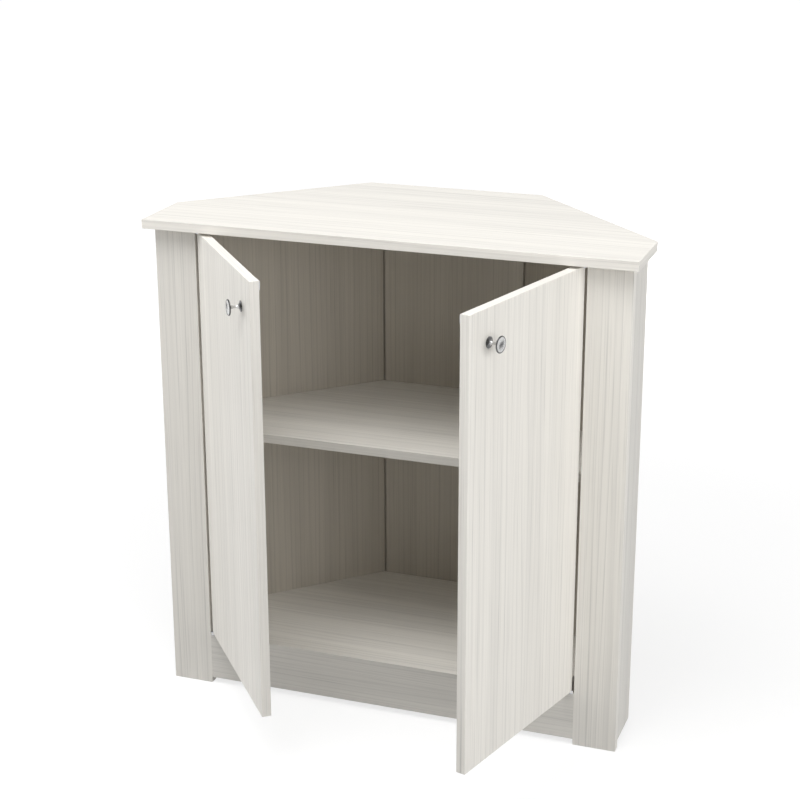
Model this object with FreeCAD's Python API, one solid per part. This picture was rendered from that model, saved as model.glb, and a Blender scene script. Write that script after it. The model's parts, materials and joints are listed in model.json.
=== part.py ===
import FreeCAD
import Part

import math
import os

# Corner cupboard: a knock-down cabinet that stands in the corner of a room.
# X runs to the right, Y to the back and Z up, in millimetres.
# The origin is on the floor, in the middle of the centre back panel's lower edge.

# Boards
BOARD = 15.0
BACK_BOARD = 9.0
EDGE_ROUND = 0.5

# Top panel
TOP_WIDTH = 800.0
TOP_RETURN = 126.5
TOP_BACK_EDGE = 305.0
OVERALL_HEIGHT = 814.0
FRONT_OVERHANG = 22.5
SIDE_OVERHANG = 11.5
WALL_OVERHANG = 15.5
REAR_OVERHANG = 1.0

# Front frame, bottom and shelf
STILE_WIDTH = 70.0
KICK_HEIGHT = 81.5
KICK_FLOOR_GAP = 10.0
RETURN_FLOOR_GAP = 13.0
SHELF_TOP = 462.0
SHELF_DOOR_GAP = 1.0

# Doors, as they stand in the rest pose
DOOR_SIDE_GAP = 4.0
DOOR_CENTRE_GAP = 4.0
DOOR_TOP_GAP = 4.5
LEFT_REST_ANGLE = 50.7
RIGHT_REST_ANGLE = 74.7

# Pivot hinges
PIVOT_INSET = 0.5
PIN_RADIUS = 1.5
RUNNING_CLEARANCE = 0.05
EYE_STILE_CLEARANCE = 1.3
LEAF_THICKNESS = 2.0
LEAF_WIDTH = 14.0
LEAF_LENGTH = 55.0
LEAF_SCREW_FRAME_GAP = 10.5
LEAF_SCREW_END_GAP = 9.0
WASHER_THICKNESS = 1.4
THRUST_CLEARANCE = 0.1
LUG_REACH = 9.0
LUG_FACE_SETBACK = 1.5
LEG_BACK_SETBACK = 1.5
LEG_LENGTH = 45.0
LEG_SCREW_CORNER_GAP = 16.0
LEG_SCREW_END_GAP = 10.0

# Knobs
KNOB_FROM_EDGE = 50.0
KNOB_FROM_TOP = 50.0
KNOB_BASE_RADIUS = 8.5
KNOB_BASE_RIM = 0.8
KNOB_FOOT_SAG_SHARE = 0.25
KNOB_STEM_RADIUS = 1.9
KNOB_STEM_LENGTH = 2.8
KNOB_NECK_RADIUS = 3.0
KNOB_NECK_FLARE = 4.0
KNOB_DISC_RADIUS = 12.5
KNOB_DISC_CONE = 3.0
KNOB_RIM_THICKNESS = 2.4
KNOB_RIM_WIDTH = 1.4
KNOB_PROJECTION = 20.2
KNOB_DISH_DEPTH = 1.2
KNOB_SCREW_RADIUS = 1.75
KNOB_SCREW_STEM_GAP = 3.0
KNOB_SCREW_HEAD_RADIUS = 4.0
KNOB_SCREW_HEAD_HEIGHT = 2.5
KNOB_SCREW_CLEARANCE = 0.25

# Countersunk screws
SCREW_RADIUS = 1.6
SCREW_HEAD_RADIUS = 3.2
SCREW_CLEARANCE = 0.05
SCREW_TIP = 2.5
SCREW_SLOT_LENGTH = 3.4
SCREW_SLOT_WIDTH = 0.8
SCREW_SLOT_DEPTH = 1.1
SCREW_BACK_SKIN = 2.0
SCREW_BOARD_SKIN = 5.0
LONG_SCREW_BITE = 24.0
BRACKET_SCREW_LENGTH = 20.0

# Cam fittings and dowels
CAM_RADIUS = 7.5
CAM_SKIN = 3.0
CAM_SETBACK = 24.0
CAM_SLOT_WIDTH = 1.6
CAM_SLOT_DEPTH = 2.0
CAM_BOLT_THREAD_RADIUS = 3.0
CAM_BOLT_THREAD_SKIN = 5.0
CAM_BOLT_SHAFT_RADIUS = 2.5
CAM_BOLT_NECK_RADIUS = 1.75
CAM_BOLT_NECK_LENGTH = 3.0
CAM_BOLT_HEAD_LENGTH = 3.0
CAM_CLEARANCE = 0.1
DOWEL_RADIUS = 4.0
DOWEL_FACE_SKIN = 5.0
DOWEL_LONG_END = 20.0
DOWEL_CLEARANCE = 0.05
DOWEL_END_CLEARANCE = 0.5
STILE_DOWEL_INSET = 13.0
RETURN_DOWEL_INSET = 14.0
KICK_DOWEL_INSET = 18.0
STILE_CAM_FLOOR_GAP = 250.0
STILE_CAM_TOP_GAP = 199.0
STILE_DOWEL_FLOOR_GAP = 120.0
STILE_DOWEL_SHELF_DROP = 22.0
STILE_DOWEL_TOP_GAP = 99.0

# Steel angle brackets and bent corner plates
BRACKET_LEG = 20.0
BRACKET_WIDTH = 18.0
BRACKET_THICKNESS = 2.0
BRACKET_HOLE_END_GAP = 7.0
BACK_BRACKET_SHARES = (0.2, 0.8)
KICK_BRACKET_SPREAD = 200.0
PLATE_WING = 20.0
PLATE_HEIGHT = 18.0
PLATE_THICKNESS = 2.0
PLATE_HOLE_END_GAP = 8.0
RETURN_PLATE_FLOOR_GAP = 200.0
RETURN_PLATE_TOP_GAP = 161.0
BACK_PLATE_FLOOR_GAP = 30.0
BACK_PLATE_TOP_GAP = 12.0

# Screws through the back panels, as shares of each panel's inner width
BOTTOM_SCREW_SHARES = (0.15, 0.5, 0.85)
SHELF_SCREW_SHARES = (0.3, 0.7)
CENTRE_SCREW_SPREAD = 70.0

# Open slots beside the centre back panel, in the inner corners
CORNER_SLOT_WIDTH = 3.0
CORNER_SLOT_BEVEL = 2.5
CORNER_SLOT_DEPTH_SHARE = 0.72

# Wall fixing holes in the oblique back panels
WALL_HOLE_RADIUS = 3.0
WALL_HOLE_TOP_GAP = 60.0
WALL_HOLE_SHARE = 0.5

# Shelf pins
PIN_SHANK_RADIUS = 2.5
PIN_SHANK_DEPTH = 9.0
PIN_COLLAR_RADIUS = 3.8
PIN_COLLAR_THICKNESS = 1.5
PIN_AXIS_DROP = 4.0
PIN_TONGUE_REACH = 10.0
PIN_TONGUE_WIDTH = 10.0
PIN_TONGUE_THICKNESS = 2.5
SHELF_PIN_INSET = 17.0

# Double magnetic catch and strike plates
CATCH_LENGTH = 56.0
CATCH_DEPTH = 16.0
CATCH_HEIGHT = 10.0
CATCH_GAP = 0.3
CATCH_SCREW_INSET = 4.5
MAGNET_WIDTH = 12.0
MAGNET_DEPTH = 8.0
MAGNET_HEIGHT = 6.0
MAGNET_SPREAD = 13.0
MAGNET_LIP = 1.0
STRIKE_WIDTH = 20.0
STRIKE_HEIGHT = 13.0
STRIKE_THICKNESS = 1.2
STRIKE_TOP_GAP = 1.0

# Levels and lines that follow from the driving sizes
ROOT_TWO = math.sqrt(2.0)
LEFT = -1
RIGHT = 1
ON_TOP = 1
BENEATH = -1
FULL_TURN = 360.0
SIDE_NAMES = {LEFT: "left", RIGHT: "right"}
REST_ANGLES = {LEFT: LEFT_REST_ANGLE, RIGHT: RIGHT_REST_ANGLE}

half_top = TOP_WIDTH / 2
half_back_edge = TOP_BACK_EDGE / 2
back_outer_y = BACK_BOARD / 2
back_inner_y = -BACK_BOARD / 2
top_rear_y = back_outer_y + REAR_OVERHANG
top_front_y = top_rear_y - TOP_RETURN - (half_top - half_back_edge)
front_y = top_front_y + FRONT_OVERHANG
frame_back_y = front_y + BOARD
frame_mid_y = front_y + BOARD / 2
carcass_half = half_top - SIDE_OVERHANG
opening_half = carcass_half - STILE_WIDTH
stile_mid_x = carcass_half - STILE_WIDTH / 2
return_inner_x = carcass_half - BOARD
return_mid_x = carcass_half - BOARD / 2
under_top = OVERALL_HEIGHT - BOARD
kick_top = KICK_FLOOR_GAP + KICK_HEIGHT
bottom_underside = kick_top - BOARD
bottom_mid_z = kick_top - BOARD / 2
shelf_underside = SHELF_TOP - BOARD
shelf_mid_z = SHELF_TOP - BOARD / 2
shelf_front_y = frame_back_y + SHELF_DOOR_GAP

# The oblique panels lie on lines where |x| + y is constant
wall_line = half_top + top_front_y + TOP_RETURN
back_outer_line = wall_line - WALL_OVERHANG * ROOT_TWO
back_inner_line = back_outer_line - BACK_BOARD * ROOT_TWO
return_rear_y = back_outer_line - carcass_half
return_mid_y = (frame_back_y + return_rear_y) / 2
back_inner_x = back_inner_line - back_inner_y
back_outer_x = back_outer_line - back_outer_y
slot_floor_y = back_inner_y + BACK_BOARD * CORNER_SLOT_DEPTH_SHARE
slot_floor_x = back_inner_x + (back_outer_x - back_inner_x) * CORNER_SLOT_DEPTH_SHARE
slot_wall_x = back_inner_x - CORNER_SLOT_WIDTH

# Door and hinge positions with the doors closed
door_width = opening_half - DOOR_SIDE_GAP - DOOR_CENTRE_GAP / 2
door_bottom = kick_top + LEAF_THICKNESS + WASHER_THICKNESS + THRUST_CLEARANCE
door_top = under_top - DOOR_TOP_GAP
hinge_edge_x = opening_half - DOOR_SIDE_GAP
pivot_x = hinge_edge_x - PIVOT_INSET
pivot_y = front_y + PIVOT_INSET
eye_radius = DOOR_SIDE_GAP + PIVOT_INSET - EYE_STILE_CLEARANCE
leaf_screws_at = (BOARD - PIVOT_INSET + LEAF_SCREW_FRAME_GAP, LEAF_LENGTH - LEAF_SCREW_END_GAP)
catch_front_y = frame_back_y + STRIKE_THICKNESS + CATCH_GAP
knob_x = hinge_edge_x - door_width + KNOB_FROM_EDGE
knob_z = door_top - KNOB_FROM_TOP
knob_disc_back = KNOB_PROJECTION - KNOB_RIM_THICKNESS
knob_neck_height = knob_disc_back - KNOB_DISC_CONE
knob_stem_end = knob_neck_height - KNOB_NECK_FLARE
knob_stem_start = knob_stem_end - KNOB_STEM_LENGTH
knob_screw_reach = knob_stem_start - KNOB_SCREW_STEM_GAP

# Places of dowels, cams, plates and pins along their boards
stile_dowel_spread = STILE_WIDTH / 2 - STILE_DOWEL_INSET
return_dowel_spread = (return_rear_y - frame_back_y) / 2 - RETURN_DOWEL_INSET
kick_dowel_spread = KICK_HEIGHT / 2 - KICK_DOWEL_INSET
shelf_pin_spread = (return_rear_y - frame_back_y) / 2 - SHELF_PIN_INSET
stile_cam_heights = (STILE_CAM_FLOOR_GAP, under_top - STILE_CAM_TOP_GAP)
stile_dowel_heights = (
    STILE_DOWEL_FLOOR_GAP,
    shelf_underside - STILE_DOWEL_SHELF_DROP,
    under_top - STILE_DOWEL_TOP_GAP,
)
return_plate_heights = (RETURN_PLATE_FLOOR_GAP, under_top - RETURN_PLATE_TOP_GAP - PLATE_HEIGHT)
back_plate_heights = (BACK_PLATE_FLOOR_GAP, under_top - BACK_PLATE_TOP_GAP - PLATE_HEIGHT)
bracket_hole_at = BRACKET_LEG - BRACKET_HOLE_END_GAP
plate_hole_at = PLATE_WING - PLATE_HOLE_END_GAP
catch_screw_spread = CATCH_LENGTH / 2 - CATCH_SCREW_INSET

# Lengths of fasteners
cam_thread_length = BOARD - CAM_BOLT_THREAD_SKIN
dowel_short_end = BOARD - DOWEL_FACE_SKIN
screw_head_depth = SCREW_HEAD_RADIUS - SCREW_RADIUS
back_bite = BACK_BOARD - SCREW_BACK_SKIN
board_bite = BOARD - SCREW_BOARD_SKIN

UP = FreeCAD.Vector(0, 0, 1)
DOWN = FreeCAD.Vector(0, 0, -1)
BACKWARD = FreeCAD.Vector(0, 1, 0)
FORWARD = FreeCAD.Vector(0, -1, 0)

nodes = {}
groups = {}
holes = {}


# Shape helpers


def across(side):
    """Direction along X that points out of the cupboard on the given side."""
    return FreeCAD.Vector(side, 0, 0)


def block(x_limits, y_limits, z_limits):
    """Box between three pairs of limits, each given in any order."""
    limits = (x_limits, y_limits, z_limits)
    sizes = [abs(pair[1] - pair[0]) for pair in limits]
    corner = FreeCAD.Vector(*[min(pair) for pair in limits])
    return Part.makeBox(*sizes, corner)


def prism(outline, low, high):
    """Upright prism over a plan outline of (x, y) points."""
    pairs = zip(outline, outline[1:] + outline[:1])
    area = sum(a[0] * b[1] - b[0] * a[1] for a, b in pairs)
    ordered = outline if area > 0 else outline[::-1]
    points = [FreeCAD.Vector(x, y, low) for x, y in ordered]
    face = Part.Face(Part.makePolygon(points + points[:1]))
    return face.extrude(FreeCAD.Vector(0, 0, high - low))


def rod(start, direction, radius, length):
    """Cylinder from a point along a direction."""
    return Part.makeCylinder(radius, length, start, direction)


def banded(shape):
    """Board with every edge slightly rounded, as an edge band leaves it."""
    return shape.makeFillet(EDGE_ROUND, shape.Edges)


def turned(shape, point, direction):
    """Copy of a shape modelled along Z, set at a point and pointing along a direction."""
    moved = shape.copy()
    moved.Placement = FreeCAD.Placement(point, FreeCAD.Rotation(UP, direction))
    return moved


def mirrored(outline, side):
    """Plan outline drawn for the right side, moved to the given side."""
    return [(side * x, y) for x, y in outline]


def add_to_group(name, shape):
    """Add one solid to a node that holds several like pieces."""
    groups.setdefault(name, []).append(shape)


def drill(board, cutter):
    """Remember a cut to be made in a board once all pieces are placed."""
    holes.setdefault(board, []).append(cutter)


# Screws


def screw_solid(length):
    """Countersunk screw along +Z with its head flush at the origin."""
    head = Part.makeCone(SCREW_HEAD_RADIUS, SCREW_RADIUS, screw_head_depth)
    shank_length = length - screw_head_depth - SCREW_TIP
    shank = rod(FreeCAD.Vector(0, 0, screw_head_depth), UP, SCREW_RADIUS, shank_length)
    tip_start = FreeCAD.Vector(0, 0, length - SCREW_TIP)
    tip = Part.makeCone(SCREW_RADIUS, 0, SCREW_TIP, tip_start)
    half_slot = SCREW_SLOT_LENGTH / 2
    half_width = SCREW_SLOT_WIDTH / 2
    slot_depth = (0, SCREW_SLOT_DEPTH)
    slots = [
        block((-half_slot, half_slot), (-half_width, half_width), slot_depth),
        block((-half_width, half_width), (-half_slot, half_slot), slot_depth),
    ]
    return head.fuse([shank, tip]).cut(slots)


def screw_cutter(length):
    """Hole for such a screw, with its clearance."""
    head_radius = SCREW_HEAD_RADIUS + SCREW_CLEARANCE
    shank_radius = SCREW_RADIUS + SCREW_CLEARANCE
    head = Part.makeCone(head_radius, shank_radius, screw_head_depth)
    shank = rod(FreeCAD.Vector(0, 0, 0), UP, shank_radius, length + SCREW_CLEARANCE)
    return head.fuse(shank)


def add_screw(group, head, drive, length, boards):
    """Drive one screw with its head at a point, and drill the boards that it passes."""
    add_to_group(group, turned(screw_solid(length), head, drive))
    cutter = turned(screw_cutter(length), head, drive)
    for board in boards:
        drill(board, cutter)


# Boards of the carcass


def top_outline():
    """Six-sided plan of the top panel."""
    right = [(half_top, top_front_y), (half_top, top_front_y + TOP_RETURN), (half_back_edge, top_rear_y)]
    return right + mirrored(right[::-1], LEFT)


def inner_outline(front):
    """Plan of a horizontal board that fills the inside from a front line to the back panels."""
    right = [
        (return_inner_x, front),
        (return_inner_x, back_inner_line - return_inner_x),
        (back_inner_x, back_inner_y),
    ]
    return right + mirrored(right[::-1], LEFT)


def oblique_outline():
    """Plan of the right oblique back panel, bevelled at both ends."""
    return [
        (carcass_half, return_rear_y),
        (back_outer_x, back_outer_y),
        (back_inner_x, back_inner_y),
        (back_inner_line - return_rear_y, return_rear_y),
    ]


def centre_outline():
    """Plan of the centre back panel, mitred at both ends and bevelled back from the inner corners."""
    right = [
        (back_outer_x, back_outer_y),
        (slot_floor_x, slot_floor_y),
        (slot_wall_x - CORNER_SLOT_BEVEL, slot_floor_y),
        (slot_wall_x, back_inner_y),
    ]
    return right + mirrored(right[::-1], LEFT)


def make_boards():
    """Fixed boards, before drilling."""
    nodes["top_panel"] = banded(prism(top_outline(), under_top, OVERALL_HEIGHT))
    nodes["bottom_panel"] = banded(prism(inner_outline(frame_back_y), bottom_underside, kick_top))
    nodes["shelf"] = banded(prism(inner_outline(shelf_front_y), shelf_underside, SHELF_TOP))
    nodes["centre_back_panel"] = banded(prism(centre_outline(), 0, under_top))
    frame_depth = (front_y, frame_back_y)
    kick = block((-opening_half, opening_half), frame_depth, (KICK_FLOOR_GAP, kick_top))
    nodes["kick_board"] = banded(kick)
    for side, name in SIDE_NAMES.items():
        stile = block((side * opening_half, side * carcass_half), frame_depth, (0, under_top))
        nodes[name + "_stile"] = banded(stile)
        return_width = (side * return_inner_x, side * carcass_half)
        return_depth = (frame_back_y, return_rear_y)
        nodes[name + "_return"] = banded(block(return_width, return_depth, (RETURN_FLOOR_GAP, under_top)))
        oblique = prism(mirrored(oblique_outline(), side), RETURN_FLOOR_GAP, under_top)
        nodes[name + "_back_panel"] = banded(oblique)


# Cam fittings and dowels


def cam_bolt(clearance):
    """Cam bolt along +Z from the joint's plane, with its thread below the origin."""
    reach = CAM_SETBACK + CAM_BOLT_HEAD_LENGTH / 2
    head_start = reach - CAM_BOLT_HEAD_LENGTH
    neck_start = head_start - CAM_BOLT_NECK_LENGTH
    thread_start = FreeCAD.Vector(0, 0, -cam_thread_length - clearance)
    thread_radius = CAM_BOLT_THREAD_RADIUS + clearance
    thread = rod(thread_start, UP, thread_radius, cam_thread_length + clearance)
    shaft = rod(FreeCAD.Vector(0, 0, 0), UP, CAM_BOLT_SHAFT_RADIUS + clearance, neck_start)
    neck_radius = CAM_BOLT_NECK_RADIUS + clearance
    neck = rod(FreeCAD.Vector(0, 0, neck_start), UP, neck_radius, CAM_BOLT_NECK_LENGTH)
    head_radius = CAM_BOLT_SHAFT_RADIUS + clearance
    head = rod(FreeCAD.Vector(0, 0, head_start), UP, head_radius, CAM_BOLT_HEAD_LENGTH + clearance)
    return thread.fuse([shaft, neck, head])


def cam_lock(bolt_space, centre, outward):
    """Cam disc flush with the board's face, slotted for a driver and open for the bolt."""
    depth = BOARD - CAM_SKIN
    disc = Part.makeCylinder(CAM_RADIUS, depth, FreeCAD.Vector(0, 0, BOARD / 2 - depth))
    half_slot = CAM_SLOT_WIDTH / 2
    slot_limits = (BOARD / 2 - CAM_SLOT_DEPTH, BOARD / 2)
    slots = [
        block((-CAM_RADIUS / 2, CAM_RADIUS / 2), (-half_slot, half_slot), slot_limits),
        block((-half_slot, half_slot), (-CAM_RADIUS / 2, CAM_RADIUS / 2), slot_limits),
    ]
    return turned(disc.cut(slots), centre, outward).cut(bolt_space)


def add_cam_joint(point, drive, outward, face_board, edge_board):
    """Cam joint at a point on the meeting plane.

    The bolt is screwed into the face board and runs along drive into the edge board,
    where the cam sits in the face that outward points to.
    """
    bolt_space = turned(cam_bolt(CAM_CLEARANCE), point, drive)
    centre = point + drive * CAM_SETBACK
    add_to_group("cam_bolts", turned(cam_bolt(0), point, drive))
    add_to_group("cam_locks", cam_lock(bolt_space, centre, outward))
    drill(face_board, bolt_space)
    bore_radius = CAM_BOLT_THREAD_RADIUS + CAM_CLEARANCE
    drill(edge_board, rod(point, drive, bore_radius, CAM_SETBACK))
    depth = BOARD - CAM_SKIN + CAM_CLEARANCE
    pocket_start = centre + outward * (BOARD / 2 - depth)
    drill(edge_board, rod(pocket_start, outward, CAM_RADIUS + CAM_CLEARANCE, depth))


def add_dowel(point, drive, first_end, first_board, second_end, second_board):
    """Dowel across a joint, reaching back into the first board and along drive into the second."""
    length = first_end + second_end
    add_to_group("dowels", rod(point - drive * first_end, drive, DOWEL_RADIUS, length))
    hole_start = point - drive * (first_end + DOWEL_END_CLEARANCE)
    hole_length = length + 2 * DOWEL_END_CLEARANCE
    hole = rod(hole_start, drive, DOWEL_RADIUS + DOWEL_CLEARANCE, hole_length)
    drill(first_board, hole)
    drill(second_board, hole)


def add_face_dowel(point, drive, face_board, edge_board):
    """Dowel from a board's face into another board's edge."""
    add_dowel(point, drive, dowel_short_end, face_board, DOWEL_LONG_END, edge_board)


def make_carcass_joints():
    """Cam joints and dowels between the boards on both sides."""
    for side, name in SIDE_NAMES.items():
        stile = name + "_stile"
        side_return = name + "_return"
        inward = across(-side)
        stile_point = FreeCAD.Vector(side * stile_mid_x, frame_mid_y, under_top)
        add_cam_joint(stile_point, DOWN, BACKWARD, "top_panel", stile)
        return_point = FreeCAD.Vector(side * return_mid_x, return_mid_y, under_top)
        add_cam_joint(return_point, DOWN, inward, "top_panel", side_return)
        bottom_point = FreeCAD.Vector(side * return_inner_x, return_mid_y, bottom_mid_z)
        add_cam_joint(bottom_point, inward, DOWN, side_return, "bottom_panel")
        for height in stile_cam_heights:
            point = FreeCAD.Vector(side * return_mid_x, frame_back_y, height)
            add_cam_joint(point, BACKWARD, inward, stile, side_return)
        for height in stile_dowel_heights:
            point = FreeCAD.Vector(side * return_mid_x, frame_back_y, height)
            add_face_dowel(point, BACKWARD, stile, side_return)
        for sign in (LEFT, RIGHT):
            offset = FreeCAD.Vector(sign * stile_dowel_spread, 0, 0)
            add_face_dowel(stile_point + offset, DOWN, "top_panel", stile)
            offset = FreeCAD.Vector(0, sign * return_dowel_spread, 0)
            add_face_dowel(return_point + offset, DOWN, "top_panel", side_return)
            add_face_dowel(bottom_point + offset, inward, side_return, "bottom_panel")
            kick_mid = (KICK_FLOOR_GAP + kick_top) / 2 + sign * kick_dowel_spread
            kick_point = FreeCAD.Vector(side * opening_half, frame_mid_y, kick_mid)
            add_dowel(kick_point, inward, DOWEL_LONG_END, stile, DOWEL_LONG_END, "kick_board")


# Back panels: screws, brackets, corner plates and wall fixing holes


def oblique_point(side, share, height):
    """Point on an oblique panel's inner face, at a share of its width from the return."""
    start_x = back_inner_line - return_rear_y
    x = start_x + (back_inner_x - start_x) * share
    return FreeCAD.Vector(side * x, back_inner_line - x, height)


def outward_normal(side):
    """Direction out of the cupboard through an oblique panel."""
    return FreeCAD.Vector(side, 1, 0).normalize()


def add_back_screw(inner_point, outward, panel, board):
    """Screw from behind, through a back panel into the edge of a horizontal board."""
    head = inner_point + outward * BACK_BOARD
    add_screw("back_screws", head, outward * -1, BACK_BOARD + LONG_SCREW_BITE, (panel, board))


def angle_bracket():
    """Angle bracket below the origin, with its upright leg on the plane y = 0."""
    half = BRACKET_WIDTH / 2
    upright = block((-half, half), (0, BRACKET_THICKNESS), (-BRACKET_LEG, 0))
    flat = block((-half, half), (0, BRACKET_LEG), (-BRACKET_THICKNESS, 0))
    return upright.fuse(flat).removeSplitter()


def add_angle_bracket(corner, inward, panel, board, panel_bite):
    """Bracket in the corner between an upright panel and the board above it."""
    turn = FreeCAD.Rotation(BACKWARD, inward)
    bracket = angle_bracket()
    bracket.Placement = FreeCAD.Placement(corner, turn)
    index = "angle_bracket_%d" % len(groups.get("angle_brackets", []))
    panel_head = corner + inward * BRACKET_THICKNESS + DOWN * bracket_hole_at
    board_head = corner + inward * bracket_hole_at + DOWN * BRACKET_THICKNESS
    screws = "angle_bracket_screws"
    add_screw(screws, panel_head, inward * -1, BRACKET_THICKNESS + panel_bite, (index, panel))
    add_screw(screws, board_head, UP, BRACKET_THICKNESS + board_bite, (index, board))
    add_to_group("angle_brackets", bracket.cut(holes.pop(index)))


def add_corner_plate(corner, first, second, height, first_panel, second_panel, first_bite):
    """Bent plate in the corner of two upright panels.

    First and second are the directions along the panels, away from the corner.
    """
    between = (first + second).normalize()
    normals = []
    for along in (first, second):
        normal = UP.cross(along)
        normals.append(normal if normal.dot(between) > 0 else normal * -1)
    inner = (normals[0] + normals[1]) * (PLATE_THICKNESS / (1 + normals[0].dot(normals[1])))
    rise = FreeCAD.Vector(0, 0, height)
    points = [
        corner + first * PLATE_WING,
        corner,
        corner + second * PLATE_WING,
        corner + second * PLATE_WING + normals[1] * PLATE_THICKNESS,
        corner + inner,
        corner + first * PLATE_WING + normals[0] * PLATE_THICKNESS,
    ]
    plate = prism([(p.x, p.y) for p in points], height, height + PLATE_HEIGHT)
    index = "corner_plate_%d" % len(groups.get("corner_plates", []))
    bites = (first_bite, back_bite)
    wings = zip((first, second), normals, (first_panel, second_panel), bites)
    for along, normal, panel, bite in wings:
        head = corner + along * plate_hole_at + normal * PLATE_THICKNESS + rise
        head = head + UP * (PLATE_HEIGHT / 2)
        add_screw("corner_plate_screws", head, normal * -1, PLATE_THICKNESS + bite, (index, panel))
    add_to_group("corner_plates", plate.cut(holes.pop(index)))


def make_back_joints():
    """What ties the back panels to the rest of the carcass."""
    for sign in (LEFT, RIGHT):
        point = FreeCAD.Vector(sign * CENTRE_SCREW_SPREAD, back_inner_y, bottom_mid_z)
        add_back_screw(point, BACKWARD, "centre_back_panel", "bottom_panel")
        point = FreeCAD.Vector(sign * CENTRE_SCREW_SPREAD, back_inner_y, shelf_mid_z)
        add_back_screw(point, BACKWARD, "centre_back_panel", "shelf")
    centre_corner = FreeCAD.Vector(0, back_inner_y, under_top)
    add_angle_bracket(centre_corner, FORWARD, "centre_back_panel", "top_panel", back_bite)
    for x in (-KICK_BRACKET_SPREAD, 0, KICK_BRACKET_SPREAD):
        corner = FreeCAD.Vector(x, frame_back_y, bottom_underside)
        add_angle_bracket(corner, BACKWARD, "kick_board", "bottom_panel", board_bite)
    for side, name in SIDE_NAMES.items():
        panel = name + "_back_panel"
        outward = outward_normal(side)
        for share in BOTTOM_SCREW_SHARES:
            add_back_screw(oblique_point(side, share, bottom_mid_z), outward, panel, "bottom_panel")
        for share in SHELF_SCREW_SHARES:
            add_back_screw(oblique_point(side, share, shelf_mid_z), outward, panel, "shelf")
        for share in BACK_BRACKET_SHARES:
            corner = oblique_point(side, share, under_top)
            add_angle_bracket(corner, outward * -1, panel, "top_panel", back_bite)
        along_oblique = FreeCAD.Vector(-side, 1, 0).normalize()
        return_corner = FreeCAD.Vector(side * return_inner_x, back_inner_line - return_inner_x, 0)
        for height in return_plate_heights:
            add_corner_plate(
                return_corner, FORWARD, along_oblique, height, name + "_return", panel, board_bite
            )
        back_corner = FreeCAD.Vector(side * back_inner_x, back_inner_y, 0)
        for height in back_plate_heights:
            add_corner_plate(
                back_corner, across(-side), along_oblique * -1, height, "centre_back_panel", panel, back_bite
            )
        hole_start = oblique_point(side, WALL_HOLE_SHARE, under_top - WALL_HOLE_TOP_GAP)
        drill(panel, rod(hole_start, outward, WALL_HOLE_RADIUS, BACK_BOARD))


# Shelf pins


def make_shelf_pins():
    """Spade pins in the returns, with their tongues under the shelf."""
    for side, name in SIDE_NAMES.items():
        inward = across(-side)
        for sign in (LEFT, RIGHT):
            y = return_mid_y + sign * shelf_pin_spread
            wall = FreeCAD.Vector(side * return_inner_x, y, shelf_underside - PIN_AXIS_DROP)
            shank = rod(wall, inward * -1, PIN_SHANK_RADIUS, PIN_SHANK_DEPTH)
            collar = rod(wall, inward, PIN_COLLAR_RADIUS, PIN_COLLAR_THICKNESS)
            tongue = block(
                (wall.x, wall.x - side * PIN_TONGUE_REACH),
                (y - PIN_TONGUE_WIDTH / 2, y + PIN_TONGUE_WIDTH / 2),
                (shelf_underside - PIN_TONGUE_THICKNESS, shelf_underside),
            )
            add_to_group("shelf_pins", shank.fuse([collar, tongue]))
            hole_radius = PIN_SHANK_RADIUS + SCREW_CLEARANCE
            drill(name + "_return", rod(wall, inward * -1, hole_radius, PIN_SHANK_DEPTH + SCREW_CLEARANCE))


# Pivot hinges, modelled with the doors closed


def make_frame_leaf(side, level, facing, board):
    """Fixed leaf on a board's face, with its screws.

    Level is the face's height and facing is ON_TOP or BENEATH, the side of the board that it lies on.
    """
    x = side * pivot_x
    z_limits = (level, level + facing * LEAF_THICKNESS)
    edge = x + side * eye_radius
    plate = block((edge, edge - side * LEAF_WIDTH), (pivot_y, pivot_y + LEAF_LENGTH), z_limits)
    eye = rod(FreeCAD.Vector(x, pivot_y, min(z_limits)), UP, eye_radius, LEAF_THICKNESS)
    bore = rod(FreeCAD.Vector(x, pivot_y, min(z_limits)), UP, PIN_RADIUS, LEAF_THICKNESS)
    name = SIDE_NAMES[side] + ("_lower" if facing == ON_TOP else "_upper") + "_frame_leaf"
    drive = DOWN if facing == ON_TOP else UP
    length = LEAF_THICKNESS + board_bite
    for distance in leaf_screws_at:
        head = FreeCAD.Vector(edge - side * LEAF_WIDTH / 2, pivot_y + distance, z_limits[1])
        add_screw("frame_leaf_screws", head, drive, length, (name, board))
    nodes[name] = plate.fuse(eye).removeSplitter().cut(bore)


def make_frame_hinges(side):
    """Fixed leaves, pins and thrust washer of one door."""
    make_frame_leaf(side, under_top, BENEATH, "top_panel")
    make_frame_leaf(side, kick_top, ON_TOP, "bottom_panel")
    x = side * pivot_x
    upper_start = FreeCAD.Vector(x, pivot_y, door_top - LEAF_THICKNESS + THRUST_CLEARANCE)
    add_to_group("hinge_pins", rod(upper_start, UP, PIN_RADIUS, under_top - upper_start.z))
    lower_start = FreeCAD.Vector(x, pivot_y, kick_top)
    lower_end = door_bottom + LEAF_THICKNESS - THRUST_CLEARANCE
    add_to_group("hinge_pins", rod(lower_start, UP, PIN_RADIUS, lower_end - kick_top))
    washer_start = FreeCAD.Vector(x, pivot_y, kick_top + LEAF_THICKNESS)
    washer = rod(washer_start, UP, eye_radius, WASHER_THICKNESS)
    add_to_group("hinge_washers", washer.cut(rod(washer_start, UP, PIN_RADIUS, WASHER_THICKNESS)))


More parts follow.
